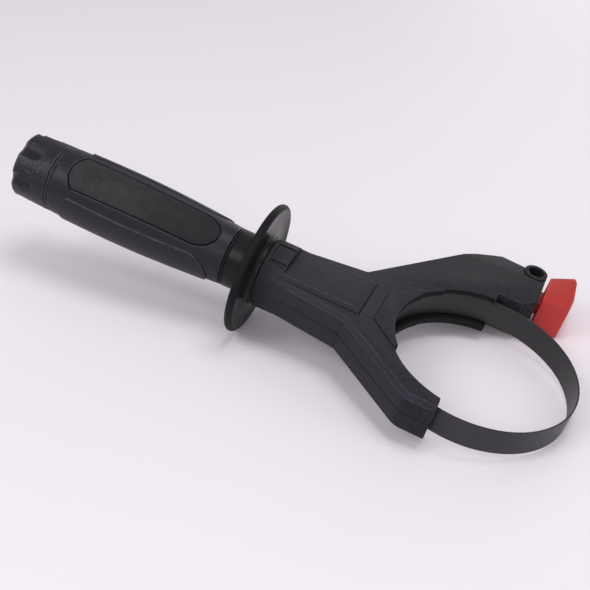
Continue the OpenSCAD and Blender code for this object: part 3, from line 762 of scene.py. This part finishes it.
def select_sharp_edges(piece, angle, outer, seam):
    bpy.ops.mesh.select_mode(type="EDGE")
    bpy.ops.mesh.select_all(action="DESELECT")
    skin = bmesh.from_edit_mesh(piece.data)
    for edge in skin.edges:
        if len(edge.link_faces) != 2 or edge.calc_face_angle(0) < math.radians(angle):
            continue
        at_seam = all(abs(v.co.z) < seam for v in edge.verts)
        if edge.is_convex == outer and not at_seam:
            edge.select = True
    bmesh.update_edit_mesh(piece.data)
    return sum(e.select for e in skin.edges)


def face_width(mesh, face):
    corners = [mesh.vertices[k].co for k in face.vertices]
    around = sum((p - q).length for p, q in zip(corners, corners[1:] + corners[:1]))
    return 2 * face.area / around


print("copy helpers ready")


# %% Bevel one kind of edge and mark its strips
def bevel_and_mark(piece, label, outer, width, steps, angle, seam):
    clear_selection()
    piece.select_set(True)
    bpy.context.view_layer.objects.active = piece
    bpy.ops.object.mode_set(mode="EDIT")
    count = select_sharp_edges(piece, angle, outer, seam)
    if count:
        bpy.ops.mesh.bevel(offset=width, segments=steps, clamp_overlap=False, miter_outer="ARC")
    bpy.ops.object.mode_set(mode="OBJECT")
    mesh = piece.data
    strip = mesh.attributes.new(label, "FLOAT", "FACE")
    narrow = [p.select and face_width(mesh, p) < 2.2 * width for p in mesh.polygons]
    strip.data.foreach_set("value", [float(n) for n in narrow])
    return count


def soften(piece, radius, steps=2, line=0.00015, seam=0.0):
    lines = bevel_and_mark(piece, "inner_line", False, line, 1, 24, seam)
    edges = bevel_and_mark(piece, "rounded_edge", True, radius, steps, 32, seam)
    bpy.ops.object.shade_smooth_by_angle(angle=math.radians(26))
    return lines, edges


print("edge helpers ready")


# %% Give a piece its finish and its place in the frame
def dress(piece, finish, body, slot, *nodes):
    piece.data.materials.clear()
    piece.data.materials.append(finish)
    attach(piece, body)
    if nodes:
        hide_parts(*nodes)
    return piece


soft_pieces = [
    ("fork_upper_shell", 0.00030, 2, 0.00042, 0.0006, fork_plastic, "handle", "fork"),
    ("fork_lower_shell", 0.00030, 2, 0.00042, 0.0006, fork_plastic, "handle", "fork"),
    ("grip_sleeve", 0.00040, 2, 0.00015, 0.0, grip_plastic, "handle", "grip"),
    ("grip_inlay_top", 0.00030, 2, 0.00015, 0.0, inlay_rubber, "handle", "inlay"),
    ("grip_inlay_bottom", 0.00030, 2, 0.00015, 0.0, inlay_rubber, "handle", "inlay"),
    ("hand_guard", 0.00020, 2, 0.00012, 0.0, guard_plastic, "handle", "guard"),
    ("end_knob", 0.00040, 3, 0.00020, 0.0, grip_plastic, "knob", "grip"),
    ("strap", 0.00028, 1, 0.00005, 0.0, strap_paint, "clamp", "strap"),
    ("release_button", 0.00060, 3, 0.00005, 0.0, red_plastic, "button", "button"),
]
for node, radius, steps, line, seam, finish, body, slot in soft_pieces:
    piece = merged_copy(node, node + "_soft")
    count = soften(piece, radius, steps, line=line, seam=seam)
    dress(piece, finish, body, slot, node)
    print(piece.name, count, "lines and edges,", len(piece.data.polygons), "faces")

# %% [markdown]
# ## Screws with a recess
# Seven screws hold the two shells together, seen only from below. Their heads need the
# six-pointed recess that a driver fits. One screw head is modelled, with the recess cut by
# a boolean, and then copied to each place, each copy with a mesh of its own.

# %% Screw places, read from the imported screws
def loose_parts(node):
    mesh = frame["nodes"][node].data
    boxes = []
    for v in mesh.vertices:
        for centre, points in boxes:
            if (v.co.xy - centre).length < 0.006:
                points.append(v.co)
                break
        else:
            boxes.append((v.co.xy.copy(), [v.co]))
    spots = []
    for _, points in boxes:
        low = [min(p[k] for p in points) for k in range(3)]
        high = [max(p[k] for p in points) for k in range(3)]
        spots.append((Vector([(a + b) / 2 for a, b in zip(low, high)]), low[2], high[2]))
    return spots


screw_spots = loose_parts("shell_screws")
print("screws:", len(screw_spots))


# %% One screw head, its recess, and the copies
def lobed_recess(radius, depth, face_z):
    clear_selection()
    bpy.ops.mesh.primitive_cylinder_add(vertices=24, radius=radius, depth=depth * 2,
                                        location=(0, 0, face_z))
    cutter = bpy.context.active_object
    for v in cutter.data.vertices:
        turn = math.atan2(v.co.y, v.co.x)
        v.co.xy *= 1 - 0.13 * (1 - math.cos(6 * turn))
    return cutter


def model_screw(low_z, high_z):
    clear_selection()
    height = high_z - low_z
    bpy.ops.mesh.primitive_cylinder_add(vertices=40, radius=0.0028, depth=0.0019,
                                        location=(0, 0, low_z + 0.00095))
    screw = bpy.context.active_object
    screw.name = screw.data.name = "shell_screw"
    bpy.ops.object.transform_apply(location=True)
    bpy.ops.object.mode_set(mode="EDIT")
    bpy.ops.mesh.select_mode(type="FACE")
    bpy.ops.mesh.select_all(action="DESELECT")
    skin = bmesh.from_edit_mesh(screw.data)
    for face in skin.faces:
        face.select = face.normal.z > 0.9
    bmesh.update_edit_mesh(screw.data)
    bpy.ops.mesh.inset(thickness=0.0013)
    bpy.ops.mesh.extrude_region_move(TRANSFORM_OT_translate={"value": (0, 0, height - 0.0029)})
    bpy.ops.mesh.extrude_region_move(TRANSFORM_OT_translate={"value": (0, 0, 0.001)})
    bpy.ops.transform.resize(value=(0.3, 0.3, 1))
    bpy.ops.object.mode_set(mode="OBJECT")
    cutter = lobed_recess(0.0015, 0.0011, low_z)
    cut = screw.modifiers.new("recess", "BOOLEAN")
    cut.object = cutter
    round_off = screw.modifiers.new("round_off", "BEVEL")
    round_off.width, round_off.segments, round_off.limit_method = 0.00022, 2, "ANGLE"
    round_off.angle_limit = math.radians(40)
    clear_selection()
    screw.select_set(True)
    bpy.context.view_layer.objects.active = screw
    bpy.ops.object.modifier_apply(modifier="recess")
    bpy.ops.object.modifier_apply(modifier="round_off")
    bpy.ops.object.shade_smooth_by_angle(angle=math.radians(35))
    bpy.data.objects.remove(cutter)
    return screw


def place_screws():
    first_at, low_z, high_z = screw_spots[0]
    model = model_screw(low_z, high_z)
    placed = []
    for k, (at, _, _) in enumerate(screw_spots):
        screw = model.copy()
        screw.data = model.data.copy()
        screw.name = screw.data.name = f"shell_screw_{k + 1}"
        bpy.context.scene.collection.objects.link(screw)
        screw.data.transform(Matrix.Translation((at.x, at.y, 0)) @ Matrix.Rotation(0.7 * k, 4, "Z"))
        dress(screw, zinc_plate, "handle", "steel")
        placed.append(screw)
    bpy.data.objects.remove(model)
    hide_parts("shell_screws")
    return placed


shell_screws = place_screws()
print("placed:", [s.name for s in shell_screws])

# %% [markdown]
# ## The button's spring
# A coil spring behind the catch pushes the button out again. When the button goes in, the
# spring gets shorter: it keeps its place at the wall behind it, and its other end follows
# the catch. A copy of the imported spring takes its place here, and its free length and the
# button's stroke are read and printed.

# %% Spring
def place_spring():
    low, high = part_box("button_spring")
    free_length = high[0] - low[0]
    stroke = max(j["range_m"][1] for j in frame["joints"] if j["name"] == "button_press")
    spring = merged_copy("button_spring", "button_spring_coil")
    bpy.ops.object.shade_smooth_by_angle(angle=math.radians(40))
    dress(spring, zinc_plate, "handle", "steel", "button_spring")
    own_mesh(spring)
    return free_length, stroke


free_length, stroke = place_spring()
print("spring:", round(free_length * 1000, 2), "mm long, pressed by", round(stroke * 1000, 2), "mm")

# %% [markdown]
# ## The hidden steel
# The anchor, rivets, rod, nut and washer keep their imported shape. They only need their
# plating, and the rod gets its thread as a bump of one ridge per pitch.

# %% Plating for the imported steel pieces
for node in ("strap_anchor", "anchor_rivets", "tension_rod", "thrust_washer", "knob_nut",
             "grip_core"):
    piece = frame["nodes"][node]
    finish = {"tension_rod": rod_thread, "grip_core": grip_plastic}.get(node, zinc_plate)
    piece.data.materials.clear()
    piece.data.materials.append(finish)
    print(node, "->", finish.name)
